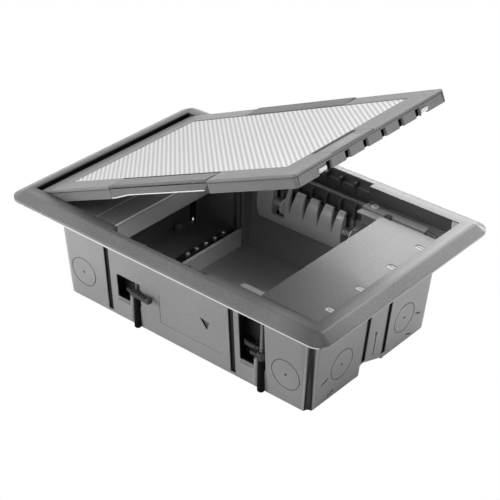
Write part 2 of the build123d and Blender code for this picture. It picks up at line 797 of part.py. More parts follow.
def make_latch_plate():
    """Cover plate at the free end, with its clip slots and screw hole."""
    x1 = opening_free_x - 1.0
    y0, y1 = -latch_plate_near, latch_plate_far
    body = slab(latch_plate_start, x1, y0, y1, plate_low, plate_top, 1.0)
    flange = block(latch_plate_start, latch_plate_start + 1.8, 4 - rail_in, rail_in - 4, plate_low - 8, plate_low + 0.2)
    body += flange
    for place in (-60, -22, 19, 57.5):
        body -= slab(126.5, 138.5, place - 2.8, place + 2.8, plate_top - 0.7, plate_top + 1, 2.6)
        body -= block(128.5, 137, place - 0.8, place + 0.8, plate_low - 1, plate_top + 1)
    body -= rod_z(135.5, y0 + 4, plate_low - 1, plate_top + 1, 1.5)
    body -= rod_z(135.5, y1 - 4, plate_low - 1, plate_top + 1, 1.5)
    return body


def make_hinge_plate():
    """Cover plate at the hinge end with a flange turned down along its free edge."""
    y = base_half_y(wall_top) - 0.8
    x0, x1 = hinge_plate_start, hinge_plate_end
    body = block(x0, x1, -y, y, plate_low, plate_top)
    flange_y = base_half_y(plate_top - hinge_plate_flange) - tub_wall - 0.8
    body += block(x1 - 2, x1, -flange_y, flange_y, plate_top - hinge_plate_flange, plate_low + 0.2)
    body = chamfer(body.edges().filter_by(Axis.Y).filter_by_position(Axis.X, x1 - 0.1, x1 + 0.1)
                   .sort_by(Axis.Z)[-1:], 0.6)
    body -= block(x1 - 22, x1 - 20.8, -y + 14, y - 14, plate_top - 0.6, plate_top + 1)
    for px, side in clamp_access(x0, x1):
        body -= block(px - 4, px + 4, side * (clamp_out - 4), side * (y + 2), plate_low - 1, plate_top + 1)
    return body


def clamp_access(x0, x1):
    """Place and side of the clamp screws that are reached through a piece between x0 and x1."""
    return [(place, side) for place, side, top in clamp_places if x0 < place < x1]


def make_rail(side):
    """Stepped rail along a long wall: the cover plate lies on its lower step."""
    z = plate_low
    t = rail_thickness
    x1 = base_half_x(0) - tub_wall - tub_corner_radius
    step = rail_step + t
    outline = [(rail_in, z - t), (step, z - t), (step, z), (rail_out, z), (rail_out, z + t),
               (rail_step, z + t), (rail_step, z), (rail_in, z)]
    body = prism_x([(side * y, height) for y, height in outline], rail_start, x1)
    body -= rod_z(rail_screw_x, side * rail_screw_y, z - 1, z + t + 1, 1.6)
    for px, clamp_side in clamp_access(rail_start, x1):
        if clamp_side == side:
            body -= rod_z(px, side * clamp_out, z - t - 1, z + t + 1, clamp_head_radius + 1)
    return body


def make_rail_screws():
    """Pan-head screws at the visible ends of the rails."""
    seat = plate_low + rail_thickness
    return group([pan_screw(rail_screw_x, side * rail_screw_y, seat, 3.1, 2.0, 1.5, 6.0) for side in (-1, 1)])


def pan_screw(x, y, seat, head_radius, head_height, shank_radius, length):
    """Pan-head screw pointing down, with a cross recess."""
    head = rod_z(x, y, seat, seat + head_height, head_radius)
    head = chamfer(head.faces().sort_by(Axis.Z)[-1].edges(), head_height * 0.4)
    shank = rod_z(x, y, seat - length, seat, shank_radius)
    cross = block(x - head_radius * 0.6, x + head_radius * 0.6, y - 0.35, y + 0.35,
                  seat + head_height * 0.5, seat + head_height + 1)
    cross += block(x - 0.35, x + 0.35, y - head_radius * 0.6, y + head_radius * 0.6,
                   seat + head_height * 0.5, seat + head_height + 1)
    return head + shank - cross


def make_trim_screws():
    out = []
    seat = tub_height - flange_thickness
    for x, y in trim_screw_places():
        head = rod_z(x, y, seat - 2, seat, 3)
        shank = rod_z(x, y, seat, tub_height + 4.2, 1.5)
        slot = block(x - 2, x + 2, y - 0.4, y + 0.4, seat - 3, seat - 1)
        out.append(head + shank - slot)
    return group(out)


def make_divider():
    y = base_half_y(0) - tub_wall - 3.2
    z0 = tub_floor
    half = divider_thickness / 2
    body = block(divider_x - half, divider_x + half, -y, y, z0, z0 + divider_height)
    bead = rod_y(divider_x, z0 + divider_height, -y + 6, y - 6, half + 0.4)
    body += bead
    return body


def make_earth_bar():
    body = block(earth_bar_x - 3, earth_bar_x + 3, -4, 68, earth_bar_level, earth_bar_level + 5)
    for y in earth_screw_places():
        body -= rod_z(earth_bar_x, y, earth_bar_level - 1, earth_bar_level + 6, 1.5 + fit)
        body -= block(earth_bar_x - 4, earth_bar_x + 4, y - 1, y + 1, earth_bar_level + 1, earth_bar_level + 3)
    return body


def earth_screw_places():
    return [8, 20, 32, 44, 56]


def make_earth_screws():
    out = [pan_screw(earth_bar_x, y, earth_bar_level + 5, 2.6, 2.2, 1.5, 2.0) for y in earth_screw_places()]
    out.append(pan_screw(earth_screw_x, earth_screw_y, 10, 4.0, 2.4, 1.8, 5.0))
    return group(out)


def fin_places():
    first = fin_offset - fin_pitch * (fin_count - 1) / 2
    return [first + k * fin_pitch for k in range(fin_count)]


def make_rake(side):
    """Row of upright fins that parts the cables in an outlet of the trim frame."""
    front = opening_y - 0.2
    foot_in = opening_y + 1.0
    wall_in = opening_y + trim_lip_wall + 0.3
    back = opening_y + outlet_recess - 0.3
    low = ledge_level + ledge_thickness + 0.1
    high = trim_top - 3
    rail = block(-outlet_half + 1, outlet_half - 1, foot_in, wall_in, low, tub_height - 0.1)
    outline = [(front, wall_top), (front, high - 1), (front + 1, high), (back, high),
               (back, tub_height + 0.1), (wall_in, tub_height + 0.1), (wall_in, wall_top)]
    body = rail
    for x in fin_places():
        body += prism_x(outline, x - fin_thickness / 2, x + fin_thickness / 2)
    if side > 0:
        return body
    body = body.rotate(Axis.Z, 180)
    return body - block(outlet_near_end - 0.4, outlet_half, -front, -back - 1, low - 1, high + 1)


def comb_shell():
    """Curved shell of the comb on the far side, without its notches."""
    y_wall = base_half_y(comb_low) - tub_wall - 0.3
    centre_y = y_wall - comb_reach + comb_radius
    centre_z = comb_low + 17
    outer = rod_x(centre_y, centre_z, comb_start, comb_end, comb_radius)
    inner = rod_x(centre_y, centre_z, comb_start - 1, comb_end + 1, comb_radius - comb_wall)
    keep = block(comb_start, comb_end, y_wall - comb_reach - 1, y_wall + 6, comb_low, comb_high)
    return (outer - inner) & keep


def comb_cheeks():
    """Upright webs between the comb's shell and the long wall."""
    y_wall = base_half_y(comb_low) - tub_wall - 0.3
    inner_low = y_wall - comb_reach + 3
    high_z = comb_high - 5
    y_high = base_half_y(high_z) - tub_wall - 0.3
    outline = [(inner_low + 1.1, comb_low + 2), (y_wall + 0.1, comb_low + 2), (y_high, high_z),
               (inner_low + 1.1, high_z), (inner_low - 2.0, comb_low + 17)]
    places = (comb_start, comb_recess_start - comb_wall, comb_recess_end, comb_end - comb_wall)
    return [prism_x(outline, x, x + comb_wall) for x in places]


def make_comb(side):
    """Curved comb that cables are laid over, with a notch at each rib of the wall."""
    body = comb_shell()
    body -= block(comb_recess_start, comb_recess_end, 40, 100, comb_low + 10, comb_high + 1)
    body = body + comb_cheeks()
    for x in rib_places():
        if x > comb_recess_end:
            notch = [(x - 0.2, comb_low + 16.5), (x + 0.2, comb_low + 16.5), (x + 3.4, comb_high + 1),
                     (x - 3.4, comb_high + 1)]
            body -= prism_y(notch, 40, 100)
        wall_y = base_half_y(comb_low) - tub_wall
        body -= block(x - rib_thickness / 2 - 0.3, x + rib_thickness / 2 + 0.3, wall_y - rib_depth + 0.4,
                      wall_y + 10, rib_low - 1, comb_high + 1)
    for x0, x1 in ((comb_recess_start - comb_wall - 0.4, comb_recess_end + comb_wall + 0.4),
                   (comb_end - comb_wall - 0.4, comb_end + 1)):
        body -= rod_x(comb_pin_y(), comb_pin_level, x0, x1, comb_pin_radius + fit)
    if side > 0:
        return body
    body -= block(comb_start - 1, comb_near_start, 40, 100, comb_low - 1, comb_high + 1)
    return mirror(body, about=Plane.XZ)


def comb_spans():
    """Start and end along X of the two springs of a comb."""
    return [(comb_recess_start + 0.8, comb_recess_end - 2.4), (comb_end + 0.8, comb_post_x - 5.0)]


def make_comb_pins():
    """Pins through the combs with a bright washer against each spring."""
    out = []
    starts = (comb_recess_start - comb_wall - 0.2, comb_end - comb_wall - 0.2)
    ends = (comb_recess_end + comb_wall + 0.2, comb_post_x + 2.0)
    for side in (-1, 1):
        y = side * comb_pin_y()
        for start, end, span in zip(starts, ends, comb_spans()):
            pin = rod_x(y, comb_pin_level, start, end, comb_pin_radius)
            washer = rod_x(y, comb_pin_level, span[1] + 0.75, span[1] + 1.95, comb_washer_radius)
            out.append(pin + washer)
    return group(out)


def make_comb_springs():
    return group([coil_spring(start, end, side * comb_pin_y(), comb_pin_level, comb_spring_radius, 0.6, 4)
                  for side in (-1, 1) for start, end in comb_spans()])


def make_clamp_screw(place, side):
    y = side * clamp_out
    head = rod_z(place, y, clamp_seat, clamp_seat + 2.2, clamp_head_radius)
    head = chamfer(head.faces().sort_by(Axis.Z)[-1].edges(), 0.8)
    cross = block(place - 1.9, place + 1.9, y - 0.4, y + 0.4, clamp_seat + 1, clamp_seat + 4)
    cross += block(place - 0.4, place + 0.4, y - 1.9, y + 1.9, clamp_seat + 1, clamp_seat + 4)
    rod = rod_z(place, y, clamp_sleeve_low + 4.5, clamp_seat, clamp_rod_radius)
    return head + rod - cross


def make_clamp_sleeve(place, side):
    y = side * clamp_out
    tube = rod_z(place, y, clamp_sleeve_low, clamp_sleeve_high, clamp_sleeve_radius)
    tube = fillet(tube.faces().sort_by(Axis.Z)[0].edges(), 1.6)
    return tube - rod_z(place, y, clamp_sleeve_low + 4.4, clamp_sleeve_high + 1, clamp_rod_radius + clamp_fit)


def make_clamp_nut(place, side):
    """Nut of a floor clamp with a toothed tail that keeps it from turning in its pocket."""
    y = side * clamp_out
    z0 = clamp_sleeve_high + 0.2
    z1 = z0 + clamp_nut_height
    body = extrude(Pos(place, y, z0) * RegularPolygon(clamp_hub_radius, 6), clamp_nut_height)
    body += block(place - clamp_tail, place - 2, y - side * 1.8, y + side * 0.6, z0 + 0.2, z1)
    for k in range(4):
        x = place - clamp_tail + 1.2 + 1.9 * k
        body -= block(x, x + 0.9, y - side * 3, y + side * 2, z1 - 1.0, z1 + 1)
    return body - rod_z(place, y, z0 - 1, z1 + 1, clamp_rod_radius + clamp_fit)


def make_clamp_claw(place, side):
    """Steel claw with its arm beside the screw, so that it folds into its pocket."""
    z0 = clamp_sleeve_high + clamp_nut_height + 0.4
    z1 = z0 + clamp_arm_height
    y0 = -clamp_arm_offset - clamp_arm_width
    body = rod_z(0, 0, z0, z1, clamp_hub_radius)
    body += block(-1.5, clamp_arm, y0, -clamp_arm_offset, z0, z1)
    body += block(clamp_arm - 2.5, clamp_arm, y0, -clamp_arm_offset, z1 - 0.2, z1 + 1.2)
    for k in range(3):
        x = clamp_arm - 12.5 + 3.2 * k
        body -= block(x, x + 1.4, y0 - 1, -clamp_arm_offset + 1, z1 - 0.9, z1 + 1)
    body -= rod_z(0, 0, z0 - 1, z1 + 1, clamp_rod_radius + clamp_fit)
    swung = (place, side) == clamp_places[0][:2]
    body = Rot(0, 0, clamp_swung if swung else clamp_folded) * body
    if side > 0:
        body = mirror(body, about=Plane.XZ)
    return Pos(place, side * clamp_out, 0) * body


def make_strike_clips():
    """Spring steel clips on the long sides of the opening, beside the lid's free corners."""
    out = []
    for side in (-1, 1):
        y = side * opening_y
        out.append(block(opening_free_x - 6.6, opening_free_x - 0.6, y, y - side * 0.6, lip_low + 1, trim_top - 1))
    return group(out)


def save(name, shape):
    export_step(shape, f"parts/{name}.step")


def main():
    save("tub", make_tub())
    save("trim_frame", make_trim())
    save("trim_screws", make_trim_screws())
    save("latch_side_plate", make_latch_plate())
    save("hinge_side_plate", make_hinge_plate())
    save("rail_near", make_rail(-1))
    save("rail_far", make_rail(1))
    save("rail_screws", make_rail_screws())
    save("divider", make_divider())
    save("earth_bar", make_earth_bar())
    save("earth_screws", make_earth_screws())
    for side, word in ((-1, "near"), (1, "far")):
        save(f"outlet_rake_{word}", make_rake(side))
        save(f"cable_comb_{word}", make_comb(side))
        save(f"cable_flap_{word}", open_lid(make_flap(side)))
        save(f"flap_edge_strip_{word}", open_lid(make_flap_strip(side)))
    save("comb_pins", make_comb_pins())
    save("comb_springs", make_comb_springs())
    save("strike_clips", make_strike_clips())
    save("hinge_brackets", make_hinge_brackets())
    save("hinge_pins", make_hinge_pins())
    save("lid_frame", open_lid(make_lid_frame()))
    save("lid_insert", open_lid(make_insert()))
    save("lid_tray", open_lid(make_tray()))
    save("flap_pins", open_lid(make_flap_pins()))
    save("latch_bar", open_lid(make_latch_bar()))
    save("thumb_slide", open_lid(make_thumb_slide()))
    save("latch_springs", open_lid(make_latch_springs()))
    for number, (place, side, top) in enumerate(clamp_places, 1):
        save(f"clamp_screw_{number}", make_clamp_screw(place, side))
        save(f"clamp_sleeve_{number}", make_clamp_sleeve(place, side))
        save(f"clamp_nut_{number}", make_clamp_nut(place, side))
        save(f"clamp_claw_{number}", make_clamp_claw(place, side))


main()
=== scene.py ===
import math

import bpy
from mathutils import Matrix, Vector


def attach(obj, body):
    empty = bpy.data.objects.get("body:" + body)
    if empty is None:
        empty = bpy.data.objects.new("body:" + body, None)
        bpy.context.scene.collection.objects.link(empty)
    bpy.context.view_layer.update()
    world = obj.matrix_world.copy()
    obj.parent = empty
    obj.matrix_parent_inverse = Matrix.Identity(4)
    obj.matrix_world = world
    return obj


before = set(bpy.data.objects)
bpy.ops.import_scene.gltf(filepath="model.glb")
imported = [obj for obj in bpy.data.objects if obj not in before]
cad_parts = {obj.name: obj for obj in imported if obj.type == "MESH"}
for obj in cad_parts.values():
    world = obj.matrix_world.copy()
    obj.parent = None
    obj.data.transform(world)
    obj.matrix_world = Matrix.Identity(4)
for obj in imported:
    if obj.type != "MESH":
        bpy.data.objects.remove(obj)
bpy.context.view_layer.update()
scene = bpy.context.scene

# All lengths are in metres. A pair is where a soft edge starts and ends, or the two limits of a band.
# The lid is drawn open round its hinge.
LID_ANGLE = math.radians(23.3)
HINGE = Vector((-0.1378, 0.0, 0.0911))

# Tub: its foot, its sloping walls, and where shade and highlights are painted into its colour
DRAFT = math.tan(math.radians(4.6))
FOOT_HALVES = (0.1295, 0.079)
FOOT_RADIUS = 0.007
INSIDE_DEPTH = (0.0019, 0.0024)
# Slots and pockets get near-black painted shade
SLOT_DEPTH = (0.00075, 0.0020)
POCKET_DEPTH = (0.0006, 0.0012)
POCKET_WIDE = (0.0725, 0.0730)
POCKET_LOW = 0.0214
POCKETS = ((-0.0689, -0.0426, -1, 0.0447), (0.0622, 0.0885, -1, 0.0667),
           (-0.1018, -0.0755, 1, 0.0667), (0.0622, 0.0885, 1, 0.0667))
# Corner groove: painted shade down its middle and painted highlights along its two edges
CORNER_REACH = (-0.0085, -0.0080)
CORNER_TOP = (0.0800, 0.0802)
CHANNEL_EDGE = (0.0034, 0.0046)
RIDGE = (0.0052, 0.0066)
# Ledges inside the tub at the cable outlets get painted shade
OUTLET_WIDE = (0.0765, 0.0995)
OUTLET_LONG = (-0.0450, 0.0560)
OUTLET_LOW = (0.0700, 0.0710)
OUTLET_SHARE = 0.85

# Lid: the line round its skirt, the line round the inlay, and the long skirts
SKIRT_WIDE = (0.0915, 0.0920)
SKIRT_END = (0.2790, 0.2793)
SKIRT_LINE = (0.0050, 0.0056)
INLAY_BESIDE = (0.0740, 0.0747)
INLAY_LONG = (0.0178, 0.2588)
INLAY_AHEAD = (0.2581, 0.2588)
INLAY_WIDE = (0.0745, 0.0748)
INLAY_RISE = (0.0070, 0.0074)
LONG_SKIRT_WIDE = (0.0912, 0.0920)
LONG_SKIRT_TOP = (0.0060, 0.0066)
LONG_SKIRT_SHARE = 0.7
RIB_PITCH = 0.00375

# Trim frame: painted shadow at its hinge end, painted shade at its near corner at the free end, a painted highlight
# on its lower edge, and painted shade towards its opening
HINGE_FACE = (-0.1490, -0.1468)
HINGE_FACE_WIDE = (0.0930, 0.0934)
DARK_CORNER = (0.156, -0.106)
DARK_CORNER_FADE = (0.008, 0.040)
EDGE_TOP = (0.0919, 0.0922)
EDGE_NEAR = (-0.1095, -0.1085)
EDGE_FREE = (0.1585, 0.1595)
EDGE_FREE_SHARE = 0.45
OPENING_HALF_WIDTH = 0.0931
OPENING_FREE = 0.1432
OPENING_HINGE = -0.1473
OPENING_FADE = (0.0005, 0.0065)
SHADE_SHARE = 0.75

# Cover plates, rail screws and combs
CLIP_LONG = (0.1265, 0.1385)
CLIP_TOP = (0.0868, 0.0872)
PLATE_EDGE = (-0.0722, -0.0720)
PLATE_GROOVE = (-0.0932, -0.0916)
PLATE_GROOVE_SHARE = 0.6
PLATE_TOP = (0.0862, 0.0866)
FLANGE_TOP = (0.0852, 0.0856)
FLANGE_SHARE = 0.9
RAIL_SCREW = (0.0674, 0.0844)
CROSS_WIDTH = (0.0003, 0.0005)
CROSS_LENGTH = (0.0018, 0.0020)
COMB_BACK = (0.0765, 0.0775)
THREAD_PITCH = 0.0008

# Painted shade: black backs behind the notches in the lid's free end, along the lid, across it and above it
NOTCH_STEPS = (-2.5, -1.5, -0.5, 0.5, 1.5, 2.5)
NOTCH_PITCH = 0.022
BACK_RUN = (0.2768, 0.2771)
BACK_HALF_WIDTH = 0.0033
BACK_RISE = (-0.0023, 0.0042)
BACK_FACES = ((0, 1, 3, 2), (4, 6, 7, 5), (0, 4, 5, 1), (2, 3, 7, 6), (0, 2, 6, 4), (1, 5, 7, 3))

# Greys from 0 to 255, as seen on screen
TONE_TUB = 160
TONE_TUB_SPREAD = 8
TONE_INSIDE = 160
TONE_INSIDE_SPREAD = 4
# The next four greys are painted light: painted shade on the outlet ledges and down the corner grooves, a painted
# highlight on the grooves' edges, and near-black painted shade in slots and pockets
TONE_OUTLET_PAINTED_SHADE = 70
TONE_CHANNEL_PAINTED_SHADE = 70
TONE_RIDGE_PAINTED_HIGHLIGHT = 190
TONE_PAINTED_RECESS_SHADE = 8
TONE_RIB_LOW = 192
TONE_RIB_HIGH = 236

# Grain of moulded plastic
GRAIN = 2600.0
GRAIN_BUMP = 0.05
GRAIN_HEIGHT = 0.0002

# Floor and sky: bright at the horizon, darker overhead, brighter to one side and darker in front
FLOOR_HALF = 6
FLOOR_LEVEL = -0.0002
HORIZON = 0.80
OVERHEAD = 0.52
SKY_RISE = (0.05, 0.75)
SIDE = Vector((-0.64, 0.77, 0.0))
SIDE_GAIN = 0.30
FRONT = Vector((0.86, -0.50, 0.0))
FRONT_FADE = (-0.2, 0.7)
FRONT_LOSS = 0.82

# Camera, at the photo's angle
FOCAL_PIXELS = 1453.54
PHOTO_PIXELS = 500.0
SENSOR = 36.0
CAMERA_PLACE = (0.643437, -0.786453, 0.690047)
CAMERA_ANGLES = (58.0797, -1.2540, 39.8883)


def new_material(name):
    """Node material with its output and one principled shader joined up."""
    mat = bpy.data.materials.new(name)
    mat.use_nodes = True
    tree = mat.node_tree
    tree.nodes.clear()
    out = tree.nodes.new("ShaderNodeOutputMaterial")
    shader = tree.nodes.new("ShaderNodeBsdfPrincipled")
    tree.links.new(shader.outputs["BSDF"], out.inputs["Surface"])
    return mat, tree, shader, out


def calc(tree, kind, *values):
    """Math node on sockets or plain numbers."""
    unit = tree.nodes.new("ShaderNodeMath")
    unit.operation = kind
    for slot, value in enumerate(values):
        if isinstance(value, (int, float)):
            unit.inputs[slot].default_value = value
        else:
            tree.links.new(value, unit.inputs[slot])
    return unit.outputs["Value"]


def times(tree, first, *others):
    """Product of two or more values."""
    for value in others:
        first = calc(tree, "MULTIPLY", first, value)
    return first


def largest(tree, first, *others):
    """Largest of two or more values."""
    for value in others:
        first = calc(tree, "MAXIMUM", first, value)
    return first


def ramp(tree, value, limits, low, high):
    """Map the range between two limits to another range, and hold its ends outside."""
    unit = tree.nodes.new("ShaderNodeMapRange")
    unit.inputs["From Min"].default_value, unit.inputs["From Max"].default_value = limits
    unit.inputs["To Min"].default_value = low
    unit.inputs["To Max"].default_value = high
    tree.links.new(value, unit.inputs["Value"])
    return unit.outputs["Result"]


def above(tree, value, limits, share=1.0):
    """Share where a value lies above a soft edge, 0 below it."""
    return ramp(tree, value, limits, 0.0, share)


def below(tree, value, limits, share=1.0):
    """Share where a value lies below a soft edge, 0 above it."""
    return ramp(tree, value, limits, share, 0.0)


def band(tree, value, limits, soft=0.0001):
    """1 where a value lies between two limits, with soft edges."""
    low, high = limits
    return times(tree, above(tree, value, (low - soft, low + soft)), below(tree, value, (high - soft, high + soft)))


def noise(tree, scale, detail=2.0, stretch=(1.0, 1.0, 1.0)):
    """Noise in object coordinates, stretched along the axes."""
    coord = tree.nodes.new("ShaderNodeTexCoord")
    mapping = tree.nodes.new("ShaderNodeMapping")
    mapping.inputs["Scale"].default_value = stretch
    tex = tree.nodes.new("ShaderNodeTexNoise")
    tex.inputs["Scale"].default_value = scale
    tex.inputs["Detail"].default_value = detail
    tex.inputs["Roughness"].default_value = 0.5
    tree.links.new(coord.outputs["Object"], mapping.inputs["Vector"])
    tree.links.new(mapping.outputs["Vector"], tex.inputs["Vector"])
    return tex.outputs["Fac"]


def blend(tree, mask, a, b):
    """Mix two colour sockets or plain colours by a mask."""
    unit = tree.nodes.new("ShaderNodeMix")
    unit.data_type = "RGBA"
    tree.links.new(mask, unit.inputs["Factor"])
    for slot, value in (("A", a), ("B", b)):
        if isinstance(value, tuple):
            unit.inputs[slot].default_value = (*value, 1.0)
        else:
            tree.links.new(value, unit.inputs[slot])
    return unit.outputs["Result"]


def grey(value):
    """Linear grey for a value of 0 to 255 as it is seen on screen."""
    v = value / 255.0
    lin = v / 12.92 if v <= 0.04045 else ((v + 0.055) / 1.055) ** 2.4
    return (lin, lin, lin)


def mottle(tree, share=0.6):
    """Cloud mixed with the fine speckle of an eroded mould."""
    cloud = noise(tree, 14.0, 3.0)
    speck = noise(tree, 850.0)
    both = calc(tree, "MULTIPLY_ADD", speck, share, calc(tree, "MULTIPLY", cloud, 1.0 - share))
    return ramp(tree, both, (0.36, 0.64), 0.0, 1.0)


def clouded(tree, cloud, tone, spread):
    """Tone that a cloud makes lighter and darker."""
    return blend(tree, cloud, grey(tone - spread), grey(tone + spread))


def bumped(tree, shader, height, strength, distance):
    """Raise a shader's surface by a height."""
    unit = tree.nodes.new("ShaderNodeBump")
    unit.inputs["Strength"].default_value = strength
    unit.inputs["Distance"].default_value = distance
    tree.links.new(height, unit.inputs["Height"])
    tree.links.new(unit.outputs["Normal"], shader.inputs["Normal"])


def rough_by(tree, shader, fac, low, high):
    """Vary a shader's roughness with a noise."""
    tree.links.new(ramp(tree, fac, (0.3, 0.7), low, high), shader.inputs["Roughness"])


def plastic(name, tone, rough=0.45, spread=6.0, coat=0.0, specular=0.5, marks=()):
    """Moulded plastic: clouded tone with a fine grain, and marks as pairs of a mask maker and a tone."""
    mat, tree, shader, _ = new_material(name)
    colour = clouded(tree, mottle(tree), tone, spread)
    for mask, other in marks:
        colour = blend(tree, mask(tree), colour, grey(other))
    tree.links.new(colour, shader.inputs["Base Color"])
    fine = noise(tree, GRAIN)
    rough_by(tree, shader, fine, rough - 0.06, rough + 0.06)
    bumped(tree, shader, fine, GRAIN_BUMP, GRAIN_HEIGHT)
    shader.inputs["Coat Weight"].default_value = coat
    shader.inputs["Coat Roughness"].default_value = 0.12
    shader.inputs["Specular IOR Level"].default_value = specular
    return mat


def metal(name, tone, rough=0.3, tint=(1.0, 1.0, 1.0), spread=10.0, thread=0.0):
    """Bare metal with a rolled grain, and a turned thread on upright rods as a bump."""
    mat, tree, shader, _ = new_material(name)
    fac = noise(tree, 700.0, 3.0)
    low = tuple(a * b for a, b in zip(grey(tone - spread), tint))
    high = tuple(a * b for a, b in zip(grey(tone + spread), tint))
    tree.links.new(blend(tree, ramp(tree, fac, (0.3, 0.7), 0.0, 1.0), low, high), shader.inputs["Base Color"])
    rough_by(tree, shader, fac, rough - 0.07, rough + 0.07)
    shader.inputs["Metallic"].default_value = 1.0
    if thread:
        z = position(tree)[2]
        wave = calc(tree, "SINE", calc(tree, "MULTIPLY", z, 2 * math.pi / thread))
        bumped(tree, shader, wave, 0.8, 0.0004)
    return mat


def position(tree):
    """Object coordinates in metres: the box and the lid's pieces are drawn in one frame."""
    coord = tree.nodes.new("ShaderNodeTexCoord")
    split = tree.nodes.new("ShaderNodeSeparateXYZ")
    tree.links.new(coord.outputs["Object"], split.inputs["Vector"])
    return split.outputs["X"], split.outputs["Y"], split.outputs["Z"]


def on_lid(tree):
    """Position along, across and above the lid, from its hinge."""
    x, y, z = position(tree)
    ahead = calc(tree, "SUBTRACT", x, HINGE.x)
    over = calc(tree, "SUBTRACT", z, HINGE.z)
    cos, sin = math.cos(LID_ANGLE), math.sin(LID_ANGLE)
    run = calc(tree, "ADD", times(tree, ahead, cos), times(tree, over, sin))
    rise = calc(tree, "SUBTRACT", times(tree, over, cos), times(tree, ahead, sin))
    return run, y, rise


def tub_masks(tree):
    """Masks for the tub: inside, painted shade in recesses, painted shade down the corner groove with painted
    highlights on its edges, painted shade on the ledge at the cable outlets.
    """
    x, y, z = position(tree)
    lean = calc(tree, "MULTIPLY", z, DRAFT)
    radius = calc(tree, "ADD", lean, FOOT_RADIUS)
    over = []
    flat = []
    for axis, half in zip((x, y), FOOT_HALVES):
        size = calc(tree, "ABSOLUTE", axis)
        flat.append(calc(tree, "SUBTRACT", size, calc(tree, "ADD", lean, half)))
        over.append(calc(tree, "MAXIMUM", calc(tree, "ADD", flat[-1], radius), 0.0))
    square = calc(tree, "ADD", times(tree, over[0], over[0]), times(tree, over[1], over[1]))
    depth = calc(tree, "SUBTRACT", radius, calc(tree, "SQRT", square))
    inside = above(tree, depth, INSIDE_DEPTH)
    slots = band(tree, depth, SLOT_DEPTH, 0.0002)

    wide = calc(tree, "ABSOLUTE", y)
    pockets = 0.0
    for x0, x1, side, top in POCKETS:
        here = times(tree, band(tree, x, (x0, x1)), band(tree, z, (POCKET_LOW, top)))
        way = above(tree, calc(tree, "MULTIPLY", y, side), (0.0, 0.001))
        pockets = calc(tree, "ADD", times(tree, here, way), pockets)
    behind = times(tree, above(tree, wide, POCKET_WIDE), above(tree, depth, POCKET_DEPTH))
    pockets = times(tree, pockets, behind)

    across = calc(tree, "ABSOLUTE", calc(tree, "SUBTRACT", flat[0], flat[1]))
    corner = times(tree, above(tree, calc(tree, "MINIMUM", flat[0], flat[1]), CORNER_REACH),
                   below(tree, z, CORNER_TOP))
    channel = times(tree, corner, below(tree, across, CHANNEL_EDGE))
    ridge = times(tree, corner, band(tree, across, RIDGE, 0.0004))

    beside = times(tree, band(tree, wide, OUTLET_WIDE, 0.0002), band(tree, x, OUTLET_LONG, 0.0002))
    outlet = times(tree, beside, above(tree, z, OUTLET_LOW, OUTLET_SHARE), inside)
    return inside, largest(tree, slots, pockets), channel, ridge, outlet


def tub_material():
    """Grey plastic with painted shade in every pocket and slot, down the corner grooves and on the ledges of the
    outlets, and painted highlights along the grooves' edges.
    """
    mat, tree, shader, _ = new_material("tub_plastic")
    cloud = mottle(tree, 0.5)
    outer = clouded(tree, cloud, TONE_TUB, TONE_TUB_SPREAD)
    inner = clouded(tree, cloud, TONE_INSIDE, TONE_INSIDE_SPREAD)
    inside, dark, channel, ridge, outlet = tub_masks(tree)
    colour = blend(tree, inside, outer, inner)
    # Painted shade on the outlet ledges, in the corner grooves, slots and pockets, and painted highlights on the
    # grooves' edges
    for mask, tone in ((outlet, TONE_OUTLET_PAINTED_SHADE), (channel, TONE_CHANNEL_PAINTED_SHADE), (ridge, TONE_RIDGE_PAINTED_HIGHLIGHT), (dark, TONE_PAINTED_RECESS_SHADE)):
        colour = blend(tree, mask, colour, grey(tone))
    tree.links.new(colour, shader.inputs["Base Color"])
    fine = noise(tree, GRAIN)
    rough_by(tree, shader, fine, 0.42, 0.54)
    bumped(tree, shader, fine, GRAIN_BUMP, GRAIN_HEIGHT)
    return mat


def insert_material():
    """Ribbed metal inlay: fine diagonal ribs."""
    mat, tree, shader, _ = new_material("lid_inlay")
    run, y, _ = on_lid(tree)
    across = calc(tree, "MULTIPLY", calc(tree, "ADD", run, y), math.sqrt(0.5) / RIB_PITCH * 2 * math.pi)
    mask = ramp(tree, calc(tree, "SINE", across), (-0.8, 0.8), 0.0, 1.0)
    tree.links.new(blend(tree, mask, grey(TONE_RIB_LOW), grey(TONE_RIB_HIGH)), shader.inputs["Base Color"])
    rough_by(tree, shader, noise(tree, 1500.0), 0.38, 0.5)
    shader.inputs["Metallic"].default_value = 0.1
    bumped(tree, shader, mask, 0.25, 0.0003)
    return mat


def lid_lines(tree):
    """Shadow line round the skirt and round the inlay."""
    run, y, rise = on_lid(tree)
    wide = calc(tree, "ABSOLUTE", y)
    skirt = largest(tree, above(tree, wide, SKIRT_WIDE), above(tree, run, SKIRT_END))
    skirt = times(tree, skirt, band(tree, rise, SKIRT_LINE))
    beside = times(tree, band(tree, wide, INLAY_BESIDE), band(tree, run, INLAY_LONG))
    ahead = times(tree, band(tree, run, INLAY_AHEAD), below(tree, wide, INLAY_WIDE))
    round_inlay = times(tree, largest(tree, beside, ahead), above(tree, rise, INLAY_RISE))
    return largest(tree, skirt, round_inlay)


def lid_skirts(tree):
    """The lid's long skirts, which lie in less light."""
    _, y, rise = on_lid(tree)
    side = above(tree, calc(tree, "ABSOLUTE", y), LONG_SKIRT_WIDE, LONG_SKIRT_SHARE)
    return times(tree, side, below(tree, rise, LONG_SKIRT_TOP))


def trim_hinge(tree):
    """Shadow down the hinge end of the opening."""
    x, y, _ = position(tree)
    return times(tree, band(tree, x, HINGE_FACE), below(tree, calc(tree, "ABSOLUTE", y), HINGE_FACE_WIDE))


